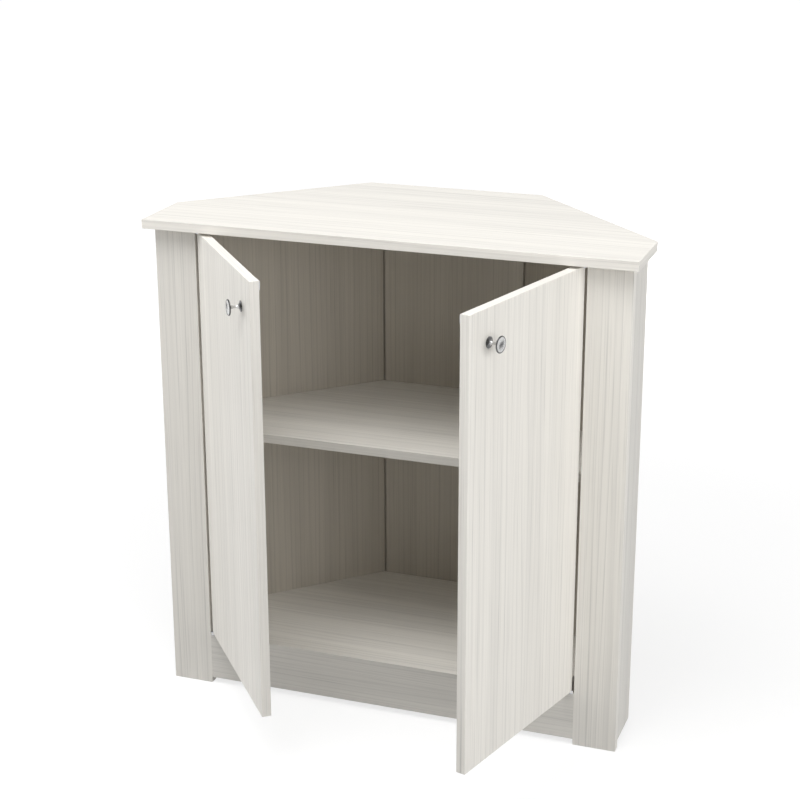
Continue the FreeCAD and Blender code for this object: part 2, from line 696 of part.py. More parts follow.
def make_door_bracket(side, end, reach):
    """Moving leaf let into the corner of the door's hinge edge, with its screws.

    End is the height of the door's end; the bracket reaches up from its bottom (ON_TOP)
    or down from its top (BENEATH).
    """
    name = SIDE_NAMES[side] + ("_lower" if reach == ON_TOP else "_upper") + "_door_bracket"
    door = SIDE_NAMES[side] + "_door"
    edge = side * hinge_edge_x
    y_limits = (front_y + LUG_FACE_SETBACK, frame_back_y - LEG_BACK_SETBACK)
    lug_limits = (end, end + reach * LEAF_THICKNESS)
    lug = block((edge, edge - side * LUG_REACH), y_limits, lug_limits)
    leg = block((edge, edge - side * LEAF_THICKNESS), y_limits, (end, end + reach * LEG_LENGTH))
    centre = FreeCAD.Vector(side * pivot_x, pivot_y, min(lug_limits))
    eye = rod(centre, UP, eye_radius, LEAF_THICKNESS)
    body = lug.fuse([leg, eye]).removeSplitter()
    drill(door, body)
    bore = rod(centre, UP, PIN_RADIUS + RUNNING_CLEARANCE, LEAF_THICKNESS)
    screws = SIDE_NAMES[side] + "_bracket_screws"
    for distance in (LEG_SCREW_CORNER_GAP, LEG_LENGTH - LEG_SCREW_END_GAP):
        head = FreeCAD.Vector(edge, sum(y_limits) / 2, end + reach * distance)
        add_screw(screws, head, across(-side), BRACKET_SCREW_LENGTH, (name, door))
    nodes[name] = body.cut(bore)


# Knobs


def knob_solid():
    """Turned knob along +Z: trumpet foot, slim stem and dished disc."""
    rim_top = KNOB_PROJECTION
    rim_inner = KNOB_DISC_RADIUS - KNOB_RIM_WIDTH
    dish_floor = KNOB_PROJECTION - KNOB_DISH_DEPTH
    foot_start = FreeCAD.Vector(KNOB_BASE_RADIUS, 0, KNOB_BASE_RIM)
    foot_end = FreeCAD.Vector(KNOB_STEM_RADIUS, 0, knob_stem_start)
    foot_sag = (KNOB_BASE_RADIUS - KNOB_STEM_RADIUS) * KNOB_FOOT_SAG_SHARE
    foot_mid = (foot_start + foot_end) / 2 - FreeCAD.Vector(foot_sag, 0, foot_sag)
    neck_start = FreeCAD.Vector(KNOB_STEM_RADIUS, 0, knob_stem_end)
    neck_end = FreeCAD.Vector(KNOB_NECK_RADIUS, 0, knob_neck_height)
    back_edge = FreeCAD.Vector(rim_inner, 0, knob_disc_back)
    rim_mid = FreeCAD.Vector(KNOB_DISC_RADIUS, 0, (knob_disc_back + rim_top) / 2)
    rim_end = FreeCAD.Vector(rim_inner, 0, rim_top)
    dish_sphere = (rim_inner ** 2 + KNOB_DISH_DEPTH ** 2) / (2 * KNOB_DISH_DEPTH)
    dish_rise = dish_sphere - math.sqrt(dish_sphere ** 2 - (rim_inner / 2) ** 2)
    dish_end = FreeCAD.Vector(0, 0, dish_floor)
    dish_mid = FreeCAD.Vector(rim_inner / 2, 0, dish_floor + dish_rise)
    axis_foot = FreeCAD.Vector(0, 0, 0)
    base_edge = FreeCAD.Vector(KNOB_BASE_RADIUS, 0, 0)
    edges = [
        Part.makeLine(axis_foot, base_edge),
        Part.makeLine(base_edge, foot_start),
        Part.Arc(foot_start, foot_mid, foot_end).toShape(),
        Part.makeLine(foot_end, neck_start),
        Part.makeLine(neck_start, neck_end),
        Part.makeLine(neck_end, back_edge),
        Part.Arc(back_edge, rim_mid, rim_end).toShape(),
        Part.Arc(rim_end, dish_mid, dish_end).toShape(),
        Part.makeLine(dish_end, axis_foot),
    ]
    face = Part.Face(Part.Wire(edges))
    turned_body = face.revolve(FreeCAD.Vector(0, 0, 0), UP, FULL_TURN)
    return turned_body.cut(rod(FreeCAD.Vector(0, 0, 0), UP, KNOB_SCREW_RADIUS, knob_screw_reach))


def make_knob(side):
    """Knob on the door's face and the screw that holds it from inside."""
    name = SIDE_NAMES[side]
    seat = FreeCAD.Vector(side * knob_x, front_y, knob_z)
    nodes[name + "_knob"] = turned(knob_solid(), seat, FORWARD)
    head_start = FreeCAD.Vector(side * knob_x, frame_back_y, knob_z)
    shank = rod(head_start, FORWARD, KNOB_SCREW_RADIUS, BOARD + knob_screw_reach)
    head = rod(head_start, BACKWARD, KNOB_SCREW_HEAD_RADIUS, KNOB_SCREW_HEAD_HEIGHT)
    half_slot = SCREW_SLOT_LENGTH / 2
    half_width = SCREW_SLOT_WIDTH / 2
    head_end = frame_back_y + KNOB_SCREW_HEAD_HEIGHT
    slot_depth = (head_end - SCREW_SLOT_DEPTH, head_end)
    slots = [
        block((seat.x - a, seat.x + a), slot_depth, (knob_z - b, knob_z + b))
        for a, b in ((half_slot, half_width), (half_width, half_slot))
    ]
    nodes[name + "_knob_screw"] = shank.fuse(head).cut(slots)
    hole_radius = KNOB_SCREW_RADIUS + KNOB_SCREW_CLEARANCE
    drill(name + "_door", rod(seat, BACKWARD, hole_radius, BOARD))


# Magnetic catch


def make_catch():
    """Housing under the top with one magnet for each door."""
    half = CATCH_LENGTH / 2
    bottom = under_top - CATCH_HEIGHT
    depth_limits = (catch_front_y, catch_front_y + CATCH_DEPTH)
    housing = block((-half, half), depth_limits, (bottom, under_top))
    for sign in (LEFT, RIGHT):
        centre = sign * MAGNET_SPREAD
        magnet = block(
            (centre - MAGNET_WIDTH / 2, centre + MAGNET_WIDTH / 2),
            (catch_front_y, catch_front_y + MAGNET_DEPTH),
            (bottom + MAGNET_LIP, bottom + MAGNET_LIP + MAGNET_HEIGHT),
        )
        add_to_group("catch_magnets", magnet)
        drill("catch_housing", magnet)
        head = FreeCAD.Vector(sign * catch_screw_spread, catch_front_y + CATCH_DEPTH / 2, bottom)
        length = CATCH_HEIGHT + board_bite
        add_screw("catch_screws", head, UP, length, ("catch_housing", "top_panel"))
    nodes["catch_housing"] = banded(housing)


def make_strike(side):
    """Steel strike plate on the door's inner face, opposite its magnet."""
    name = SIDE_NAMES[side]
    centre = side * MAGNET_SPREAD
    top = door_top - STRIKE_TOP_GAP
    plate_end = frame_back_y + STRIKE_THICKNESS
    nodes[name + "_strike_plate"] = block(
        (centre - STRIKE_WIDTH / 2, centre + STRIKE_WIDTH / 2),
        (frame_back_y, plate_end),
        (top - STRIKE_HEIGHT, top),
    )
    head = FreeCAD.Vector(centre, plate_end, top - STRIKE_HEIGHT / 2)
    boards = (name + "_strike_plate", name + "_door")
    add_screw(name + "_strike_screw", head, FORWARD, STRIKE_THICKNESS + board_bite, boards)


# Doors


def make_door(side):
    """One door, closed, with everything that is fixed to it."""
    free_edge = hinge_edge_x - door_width
    slab = block(
        (side * free_edge, side * hinge_edge_x), (front_y, frame_back_y), (door_bottom, door_top)
    )
    nodes[SIDE_NAMES[side] + "_door"] = banded(slab)
    make_door_bracket(side, door_top, BENEATH)
    make_door_bracket(side, door_bottom, ON_TOP)
    make_knob(side)
    make_strike(side)


def door_nodes(side):
    """Names of the nodes that swing with one door."""
    name = SIDE_NAMES[side]
    pieces = ("door", "knob", "knob_screw", "upper_door_bracket", "lower_door_bracket")
    pieces = pieces + ("bracket_screws", "strike_plate", "strike_screw")
    return [name + "_" + piece for piece in pieces]


# Assembly


def finish_nodes():
    """Drill the boards, gather the groups and open the doors to the rest pose."""
    for board, cutters in holes.items():
        nodes[board] = nodes[board].cut(cutters)
    for name, shapes in groups.items():
        nodes[name] = Part.makeCompound(shapes)
    for side in SIDE_NAMES:
        pivot = FreeCAD.Vector(side * pivot_x, pivot_y, 0)
        for name in door_nodes(side):
            nodes[name] = nodes[name].rotate(pivot, UP, side * REST_ANGLES[side])


def main():
    """Build every node and write one file for each."""
    make_boards()
    make_carcass_joints()
    make_back_joints()
    make_shelf_pins()
    make_catch()
    for side in SIDE_NAMES:
        make_frame_hinges(side)
        make_door(side)
    finish_nodes()
    os.makedirs("parts", exist_ok=True)
    for name, shape in nodes.items():
        shape.exportStep("parts/" + name + ".step")
        print(name, len(shape.Solids), "solids", round(shape.Volume), "mm3", shape.isValid())


main()
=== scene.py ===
"""Looks of the corner cupboard: laminate boards, open doors, bright knobs and a plain studio."""

import json
import logging
import math
from abc import ABC, abstractmethod
from dataclasses import dataclass, field
from enum import Enum
from typing import ClassVar, Iterable, Union

import bpy
from mathutils import Matrix, Vector


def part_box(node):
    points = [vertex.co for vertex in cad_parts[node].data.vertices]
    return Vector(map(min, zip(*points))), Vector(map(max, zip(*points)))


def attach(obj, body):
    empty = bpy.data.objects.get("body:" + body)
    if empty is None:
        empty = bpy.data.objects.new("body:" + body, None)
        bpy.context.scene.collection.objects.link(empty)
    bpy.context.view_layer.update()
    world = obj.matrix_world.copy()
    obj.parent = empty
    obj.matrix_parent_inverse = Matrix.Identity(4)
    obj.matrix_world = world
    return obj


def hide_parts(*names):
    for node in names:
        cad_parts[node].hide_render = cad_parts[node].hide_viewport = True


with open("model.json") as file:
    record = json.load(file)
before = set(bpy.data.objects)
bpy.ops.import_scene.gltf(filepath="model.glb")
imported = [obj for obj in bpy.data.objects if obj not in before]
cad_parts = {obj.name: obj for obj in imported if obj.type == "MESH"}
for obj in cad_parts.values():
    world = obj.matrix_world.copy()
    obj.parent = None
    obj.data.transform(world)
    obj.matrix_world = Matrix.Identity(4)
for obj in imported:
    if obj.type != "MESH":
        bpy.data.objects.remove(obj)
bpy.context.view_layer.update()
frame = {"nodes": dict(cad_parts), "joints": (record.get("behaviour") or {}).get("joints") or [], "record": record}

MM = 0.001
ROOT_HALF = math.sqrt(0.5)
X_AXIS = Vector((1, 0, 0))
Y_AXIS = Vector((0, 1, 0))
Z_AXIS = Vector((0, 0, 1))
RISING = (0.0, 1.0)
FALLING = (1.0, 0.0)
NOISE_MEAN = 0.5
NOISE_LIMITS = (0.3, 0.7)
SEED_SHIFT = 0.5

Colour = tuple[float, float, float, float]
Range = tuple[float, float]
Socket = bpy.types.NodeSocket
Feed = Union[Socket, float, tuple, Vector]

log = logging.getLogger("corner_cupboard")


class Side(Enum):
    """Side of the cupboard, seen from the front."""

    LEFT = "left"
    RIGHT = "right"

    @property
    def sign(self) -> float:
        """Direction of the side along X."""
        return -1.0 if self is Side.LEFT else 1.0

    @property
    def seed_shift(self) -> float:
        """Shift of the seed that gives each board of a pair a grain of its own."""
        return SEED_SHIFT * self.sign


class Slot(Enum):
    """Material slots of the record that the finishes belong to."""

    LAMINATE = "laminate"
    BACK_LAMINATE = "back_laminate"
    KNOB_CHROME = "knob_chrome"
    ZINC_STEEL = "zinc_steel"
    ZINC = "zinc"
    WHITE_PLASTIC = "white_plastic"
    DOWEL_BEECH = "dowel_beech"
    MAGNET = "magnet"


def grey(level: float) -> Colour:
    """Opaque grey of one level."""
    return (level, level, level, 1.0)


def direction(azimuth: float, elevation: float) -> Vector:
    """Direction from the cupboard towards a lamp or the camera.

    Args:
        azimuth: Angle round Z in degrees, 0 in front and positive to the right.
        elevation: Angle above the floor in degrees.

    Returns:
        Vector of length 1.
    """
    turn, rise = math.radians(azimuth), math.radians(elevation)
    reach = math.cos(rise)
    return Vector((math.sin(turn) * reach, -math.cos(turn) * reach, math.sin(rise)))


# Node trees


@dataclass
class NodeBench:
    """Places and links the nodes of one shader tree."""

    tree: bpy.types.NodeTree

    def node(self, kind: str, **settings: object) -> bpy.types.Node:
        """Add a node.

        Args:
            kind: Blender's name of the node type.
            **settings: Properties to set on the node.

        Returns:
            The new node.
        """
        made = self.tree.nodes.new(kind)
        for name, value in settings.items():
            setattr(made, name, value)
        return made

    def feed(self, socket: Socket, value: Feed) -> None:
        """Link a socket to another one, or set it to a constant.

        Args:
            socket: Input to feed.
            value: Output socket, number, colour or vector.
        """
        if isinstance(value, Socket):
            self.tree.links.new(value, socket)
        else:
            socket.default_value = value

    def fed(self, made: bpy.types.Node, values: Iterable[Feed]) -> Socket:
        """Feed a node's inputs in order.

        Args:
            made: The node.
            values: Values of its first inputs.

        Returns:
            Socket of the node's first output.
        """
        for socket, value in zip(made.inputs, values):
            self.feed(socket, value)
        return made.outputs[0]

    def math(self, operation: str, *values: Feed) -> Socket:
        """Work out an operation on numbers."""
        return self.fed(self.node("ShaderNodeMath", operation=operation), values)

    def vector_math(self, operation: str, *values: Feed) -> Socket:
        """Work out an operation on vectors that gives a vector."""
        return self.fed(self.node("ShaderNodeVectorMath", operation=operation), values)

    def split(self, vector: Feed) -> tuple[Socket, ...]:
        """Split a vector.

        Args:
            vector: Vector to split.

        Returns:
            Sockets of its three parts.
        """
        made = self.node("ShaderNodeSeparateXYZ")
        self.feed(made.inputs[0], vector)
        return tuple(made.outputs)

    def join(self, x: Feed, y: Feed, z: Feed) -> Socket:
        """Join three numbers into a vector."""
        return self.fed(self.node("ShaderNodeCombineXYZ"), (x, y, z))

    def noise(self, vector: Feed, detail: float, roughness: float = 0.5) -> Socket:
        """Add a noise whose features are about one unit of the vector wide.

        Args:
            vector: Place at which the noise is read.
            detail: Number of finer layers.
            roughness: Strength of the finer layers.

        Returns:
            Socket of the noise, about 0 to 1.
        """
        made = self.node("ShaderNodeTexNoise")
        self.feed(made.inputs["Vector"], vector)
        made.inputs["Scale"].default_value = 1.0
        made.inputs["Detail"].default_value = detail
        made.inputs["Roughness"].default_value = roughness
        return made.outputs[0]

    def remap(self, value: Feed, source: Range, target: Range, smooth: bool = False) -> Socket:
        """Map one range to another, clamped at its ends.

        Args:
            value: Number to map.
            source: Range that it comes from.
            target: Range that it goes to.
            smooth: Whether the ends are eased.

        Returns:
            Socket of the mapped number.
        """
        made = self.node("ShaderNodeMapRange")
        made.interpolation_type = "SMOOTHSTEP" if smooth else "LINEAR"
        return self.fed(made, (value, *source, *target))

    def mix(self, factor: Feed, first: Feed, second: Feed, blend: str = "MIX") -> Socket:
        """Mix two colours.

        Args:
            factor: Share of the second colour.
            first: First colour.
            second: Second colour.
            blend: Way of mixing.

        Returns:
            Socket of the mixed colour.
        """
        made = self.node("ShaderNodeMix", data_type="RGBA", blend_type=blend)
        colours = [socket for socket in made.inputs if socket.type == "RGBA"]
        self.feed(made.inputs[0], factor)
        self.feed(colours[0], first)
        self.feed(colours[1], second)
        return next(socket for socket in made.outputs if socket.type == "RGBA")

    def mapped(self, vector: Feed, turn: tuple, origin: Feed = (0.0, 0.0, 0.0)) -> Socket:
        """Express a vector in a piece's own directions.

        Args:
            vector: Vector in the object's directions.
            turn: Angles of the piece's directions.
            origin: Place of the piece's own origin.

        Returns:
            Socket of the vector in the piece's directions.
        """
        made = self.node("ShaderNodeMapping", vector_type="TEXTURE")
        self.feed(made.inputs["Vector"], vector)
        self.feed(made.inputs["Location"], origin)
        self.feed(made.inputs["Rotation"], turn)
        return made.outputs[0]

    def bump(self, height: Feed, strength: float, distance: float) -> Socket:
        """Add a fine relief.

        Args:
            height: Height of the relief, 0 to 1.
            strength: Share of the relief that shows.
            distance: Depth of the relief in metres.

        Returns:
            Socket of the bumped normal.
        """
        made = self.node("ShaderNodeBump")
        made.inputs["Strength"].default_value = strength
        made.inputs["Distance"].default_value = distance
        self.feed(made.inputs["Height"], height)
        return made.outputs[0]

    def shader(self, kind: str, **inputs: Feed) -> Socket:
        """Add a shader.

        Args:
            kind: Blender's name of the node type.
            **inputs: Values of its inputs.

        Returns:
            The shader's socket.
        """
        made = self.node(kind)
        for name, value in inputs.items():
            self.feed(made.inputs[name], value)
        return made.outputs[0]

    def group(self, tree: bpy.types.NodeTree, **inputs: Feed) -> dict[str, Socket]:
        """Place a node group.

        Args:
            tree: The group.
            **inputs: Values of its inputs, with underscores for spaces.

        Returns:
            Sockets of its outputs, by name.
        """
        made = self.node("ShaderNodeGroup", node_tree=tree)
        for name, value in inputs.items():
            self.feed(made.inputs[name.replace("_", " ")], value)
        return {socket.name: socket for socket in made.outputs}


def blank_bench(owner: Union[bpy.types.Material, bpy.types.World]) -> NodeBench:
    """Empty the node tree of a material or a world.

    Args:
        owner: Material or world.

    Returns:
        Bench for its tree.
    """
    owner.use_nodes = True
    owner.node_tree.nodes.clear()
    return NodeBench(owner.node_tree)


def new_material(name: str) -> tuple[bpy.types.Material, NodeBench, bpy.types.Node]:
    """Start a material with a principled shader alone.

    Args:
        name: Name of the material.

    Returns:
        The material, a bench for its tree, and its principled shader.
    """
    material = bpy.data.materials.new(name)
    bench = blank_bench(material)
    shader = bench.node("ShaderNodeBsdfPrincipled")
    output = bench.node("ShaderNodeOutputMaterial")
    bench.feed(output.inputs["Surface"], shader.outputs[0])
    return material, bench, shader


# Shared effects


class SharedGroup(ABC):
    """Shader node group that is built once and shared by the materials."""

    name: ClassVar[str]
    vectors: ClassVar[tuple[str, ...]]
    numbers: ClassVar[tuple[str, ...]]
    outputs: ClassVar[tuple[str, ...]]

    def group(self) -> bpy.types.NodeTree:
        """Build the group, or find it when it is built already.

        Returns:
            The group.
        """
        known = bpy.data.node_groups.get(self.name)
        if known:
            return known
        tree = bpy.data.node_groups.new(self.name, "ShaderNodeTree")
        for way, kind, labels in (
            ("INPUT", "NodeSocketVector", self.vectors),
            ("INPUT", "NodeSocketFloat", self.numbers),
            ("OUTPUT", "NodeSocketFloat", self.outputs),
        ):
            for label in labels:
                tree.interface.new_socket(name=label, in_out=way, socket_type=kind)
        bench = NodeBench(tree)
        source = {socket.name: socket for socket in bench.node("NodeGroupInput").outputs}
        target = bench.node("NodeGroupOutput").inputs
        for label, result in self.results(bench, source).items():
            bench.feed(target[label], result)
        return tree

    @abstractmethod
    def results(self, bench: NodeBench, source: dict[str, Socket]) -> dict[str, Socket]:
        """Work out the group's outputs.

        Args:
            bench: Bench of the group.
            source: Inputs of the group, by name.

        Returns:
            Sockets of the results, by the output's name.
        """


@dataclass(frozen=True)
class Streaks:
    """Noise with features that are long along the grain, sized in metres."""

    across: float
    along: float
    detail: float = 1.0
    roughness: float = 0.5

    def at(self, bench: NodeBench, place: Feed) -> Socket:
        """Read the noise at a place.

        Args:
            bench: Bench of the group.
            place: Place with the grain along Z.

        Returns:
            Socket of the noise, about 0 to 1.
        """
        stretch = (1 / self.across, 1 / self.across, 1 / self.along)
        return bench.noise(bench.vector_math("MULTIPLY", place, stretch), self.detail, self.roughness)


@dataclass(frozen=True)
class GrainPattern(SharedGroup):
    """Printed wood grain with its run along local Z: growth lines, streaks, bands, hairs and pores."""

    name: ClassVar[str] = "board_grain"
    vectors: ClassVar[tuple[str, ...]] = ("Place", "Facing")
    numbers: ClassVar[tuple[str, ...]] = (
        "Seed",
        "Ring Spacing",
        "Ring Strength",
        "Streak Strength",
        "Hair Strength",
    )
    outputs: ClassVar[tuple[str, ...]] = ("Tone", "Pores", "Height")
    streak: Streaks = Streaks(across=3.6 * MM, along=700.0 * MM, detail=3.0, roughness=0.6)
    band: Streaks = Streaks(across=30.0 * MM, along=1100.0 * MM)
    hair: Streaks = Streaks(across=1.4 * MM, along=170.0 * MM)
    hair_limits: Range = (0.55, 0.74)
    pore: Streaks = Streaks(across=0.45 * MM, along=9.0 * MM, detail=0.0)
    pore_limits: Range = (0.60, 0.76)
    drift: Streaks = Streaks(across=26.0 * MM, along=800.0 * MM)
    drift_lines: float = 2.2
    fade: Streaks = Streaks(across=7.0 * MM, along=420.0 * MM)
    fade_limits: Range = (0.28, 0.62)
    line_sharpness: float = 7.0
    line_fall: float = 0.93
    seed_steps: tuple[float, float, float] = (7.31, 3.17, 5.73)
    streak_relief: float = 0.35
    pore_relief: float = 0.5
    line_relief: float = 0.3

    def results(self, bench: NodeBench, source: dict[str, Socket]) -> dict[str, Socket]:
        """Work out the tone, the dull places and the relief of the grain.

        Args:
            bench: Bench of the group.
            source: Inputs of the group, by name.

        Returns:
            Sockets of the results, by the output's name.
        """
        place = self._turned_at_ends(bench, source["Place"], source["Facing"])
        steps = [bench.math("MULTIPLY", source["Seed"], step) for step in self.seed_steps]
        seeded = bench.vector_math("ADD", place, bench.join(*steps))
        streak = self.streak.at(bench, seeded)
        band = self.band.at(bench, seeded)
        hair = bench.remap(self.hair.at(bench, seeded), self.hair_limits, RISING, smooth=True)
        pore = bench.remap(self.pore.at(bench, seeded), self.pore_limits, RISING, smooth=True)
        ring = self._rings(bench, place, seeded, source["Ring Spacing"])
        tone = 1.0
        for shade, strength in (
            (ring, "Ring Strength"),
            (bench.math("SUBTRACT", streak, NOISE_MEAN), "Streak Strength"),
            (bench.math("SUBTRACT", band, NOISE_MEAN), "Streak Strength"),
            (hair, "Hair Strength"),
        ):
            tone = bench.math("SUBTRACT", tone, bench.math("MULTIPLY", shade, source[strength]))
        relief = bench.math("MULTIPLY", streak, self.streak_relief)
        for sunk, depth in ((pore, self.pore_relief), (ring, self.line_relief)):
            relief = bench.math("SUBTRACT", relief, bench.math("MULTIPLY", sunk, depth))
        return {"Tone": tone, "Pores": bench.math("MAXIMUM", pore, hair), "Height": relief}

    def _turned_at_ends(self, bench: NodeBench, place: Feed, facing: Feed) -> Socket:
        """Turn the grain on end faces, where the edge tape's grain runs along the edge.

        Args:
            bench: Bench of the group.
            place: Place on the board.
            facing: Normal in the board's own directions.

        Returns:
            Socket of the place with its grain along Z on every face.
        """
        x, y, z = bench.split(place)
        end_part = bench.math("ABSOLUTE", bench.split(facing)[2])
        is_end = bench.math("GREATER_THAN", end_part, ROOT_HALF)
        is_side = bench.math("SUBTRACT", 1.0, is_end)
        across = bench.math("ADD", bench.math("MULTIPLY", x, is_side), bench.math("MULTIPLY", z, is_end))
        along = bench.math("ADD", bench.math("MULTIPLY", z, is_side), bench.math("MULTIPLY", x, is_end))
        return bench.join(across, y, along)

    def _rings(self, bench: NodeBench, place: Feed, seeded: Feed, spacing: Feed) -> Socket:
        """Growth lines that darken slowly and end sharply.

        Args:
            bench: Bench of the group.
            place: Place with the grain along Z.
            seeded: The same place, moved by the board's seed.
            spacing: Distance between the lines.

        Returns:
            Socket of the lines' darkness, 0 to 1.
        """
        fade = bench.remap(self.fade.at(bench, seeded), self.fade_limits, RISING, smooth=True)
        shift = bench.math("MULTIPLY", self.drift.at(bench, seeded), self.drift_lines)
        count = bench.math("DIVIDE", bench.split(place)[0], spacing)
        saw = bench.math("FRACT", bench.math("ADD", count, shift))
        rise = bench.math("POWER", saw, self.line_sharpness)
        fall = bench.remap(saw, (self.line_fall, 1.0), FALLING)
        return bench.math("MULTIPLY", bench.math("MULTIPLY", rise, fall), fade)


@dataclass(frozen=True)
class ArrisWear(SharedGroup):
    """Light wear along the rounded arrises, found by the way that a face points."""

    name: ClassVar[str] = "arris_wear"
    vectors: ClassVar[tuple[str, ...]] = ("Place", "Facing")
    numbers: ClassVar[tuple[str, ...]] = ("Diagonal",)
    outputs: ClassVar[tuple[str, ...]] = ("Mask",)
    patches: Streaks = Streaks(across=14.0 * MM, along=14.0 * MM, detail=3.0, roughness=0.6)
    slope_limits: Range = (0.955, 0.995)

    def results(self, bench: NodeBench, source: dict[str, Socket]) -> dict[str, Socket]:
        """Work out the mask of the worn places.

        Args:
            bench: Bench of the group.
            source: Inputs of the group, by name.

        Returns:
            Sockets of the results, by the output's name.
        """
        x, y, z = bench.split(bench.vector_math("ABSOLUTE", source["Facing"]))
        flat = bench.math("MAXIMUM", bench.math("MAXIMUM", x, y), z)
        slant = bench.math("MULTIPLY", bench.math("ADD", x, z), ROOT_HALF)
        slant = bench.math("MULTIPLY", slant, source["Diagonal"])
        arris = bench.remap(bench.math("MAXIMUM", flat, slant), self.slope_limits, FALLING)
        patches = self.patches.at(bench, source["Place"])
        return {"Mask": bench.math("MULTIPLY", arris, patches)}


@dataclass(frozen=True)
class Mottle(SharedGroup):
    """Uneven tone of plated, cast or moulded surfaces."""

    name: ClassVar[str] = "mottle"
    vectors: ClassVar[tuple[str, ...]] = ("Place",)
    numbers: ClassVar[tuple[str, ...]] = ("Cloud Size", "Speck Size")
    outputs: ClassVar[tuple[str, ...]] = ("Clouds", "Specks")
    cloud_detail: float = 3.0
    speck_detail: float = 2.0

    def results(self, bench: NodeBench, source: dict[str, Socket]) -> dict[str, Socket]:
        """Work out the large and the small spots.

        Args:
            bench: Bench of the group.
            source: Inputs of the group, by name.

        Returns:
            Sockets of the results, by the output's name.
        """
        place = source["Place"]
        return {
            "Clouds": self._spots(bench, place, source["Cloud Size"], self.cloud_detail),
            "Specks": self._spots(bench, place, source["Speck Size"], self.speck_detail),
        }

    def _spots(self, bench: NodeBench, place: Feed, size: Feed, detail: float) -> Socket:
        """Noise with round spots.

        Args:
            bench: Bench of the group.
            place: Place on the piece.
            size: Width of a spot in metres.
            detail: Number of finer layers.

        Returns:
            Socket of the noise, about 0 to 1.
        """
        scale = bench.math("DIVIDE", 1.0, size)
        spread = bench.vector_math("MULTIPLY", place, bench.join(scale, scale, scale))
        return bench.noise(spread, detail)


# Finishes


@dataclass(frozen=True)
class LaminateFinish:
    """Washed off-white laminate with printed grain."""

    pale: Colour = (0.79, 0.765, 0.714, 1.0)
    worn: Colour = (0.84, 0.81, 0.76, 1.0)
    ring_strength: float = 0.27
    streak_strength: float = 0.21
    hair_strength: float = 0.11
    roughness: Range = (0.44, 0.58)
    relief: float = 0.10 * MM
    relief_strength: float = 0.35
    wear: float = 0.3
    arris_limits: Range = (0.3, 0.95)

    def material(self, board: "Board") -> bpy.types.Material:
        """Make the material of one board, with its grain along the board.

        Args:
            board: Board that gets the material.

        Returns:
            The material.
        """
        material, bench, shader = new_material(board.node + "_laminate")
        coordinate = bench.node("ShaderNodeTexCoord").outputs
        place = bench.mapped(coordinate["Object"], board.turn(), board.centre())
        facing = bench.mapped(coordinate["Normal"], board.turn())
        grain = bench.group(
            GrainPattern().group(),
            Place=place,
            Facing=facing,
            Seed=board.seed,
            Ring_Spacing=board.ring_spacing,
            Ring_Strength=self.ring_strength * board.ring_share,
            Streak_Strength=self.streak_strength,
            Hair_Strength=self.hair_strength,
        )
        wear = bench.group(
            ArrisWear().group(),
            Place=place,
            Facing=facing,
            Diagonal=1.0 if board.diagonal else 0.0,
        )
        # Painted light and shade: the board's tone scales its whole colour, and its edge level the narrow edges.
        flatness = bench.math("ABSOLUTE", bench.split(facing)[1])
        painted_edge_light = bench.remap(flatness, self.arris_limits, (board.painted_edge_level, 1.0))
        shade = bench.math("MULTIPLY", grain["Tone"], painted_edge_light)
        pale_with_painted_light = (*[part * board.tone for part in self.pale[:3]], 1.0)
        tinted = bench.mix(factor=1.0, first=pale_with_painted_light, second=shade, blend="MULTIPLY")
        share = bench.math("MULTIPLY", wear["Mask"], self.wear)
        bench.feed(shader.inputs["Base Color"], bench.mix(share, tinted, self.worn))
        bench.feed(shader.inputs["Roughness"], bench.remap(grain["Pores"], RISING, self.roughness))
        relief = bench.bump(grain["Height"], self.relief_strength, self.relief)
        bench.feed(shader.inputs["Normal"], relief)
        return material


@dataclass(frozen=True)
class MottledFinish:
    """Metal, plastic, wood or ferrite with an uneven tone."""

    name: str
    light: Colour
    dark: Colour
    roughness: Range
    metallic: float = 0.0
    cloud_size: float = 9.0 * MM
    speck_size: float = 0.6 * MM
    relief: float = 0.02 * MM
    relief_strength: float = 0.3

    def material(self) -> bpy.types.Material:
        """Make the material, or find it when it is made already.

        Returns:
            The material.
        """
        known = bpy.data.materials.get(self.name)
        if known:
            return known
        material, bench, shader = new_material(self.name)
        mottle = bench.group(
            Mottle().group(),
            Place=bench.node("ShaderNodeTexCoord").outputs["Object"],
            Cloud_Size=self.cloud_size,
            Speck_Size=self.speck_size,
        )
        share = bench.remap(mottle["Clouds"], NOISE_LIMITS, RISING)
        bench.feed(shader.inputs["Base Color"], bench.mix(share, self.light, self.dark))
        roughness = bench.remap(mottle["Specks"], NOISE_LIMITS, self.roughness)
        bench.feed(shader.inputs["Roughness"], roughness)
        shader.inputs["Metallic"].default_value = self.metallic
        relief = bench.bump(mottle["Specks"], self.relief_strength, self.relief)
        bench.feed(shader.inputs["Normal"], relief)
        return material


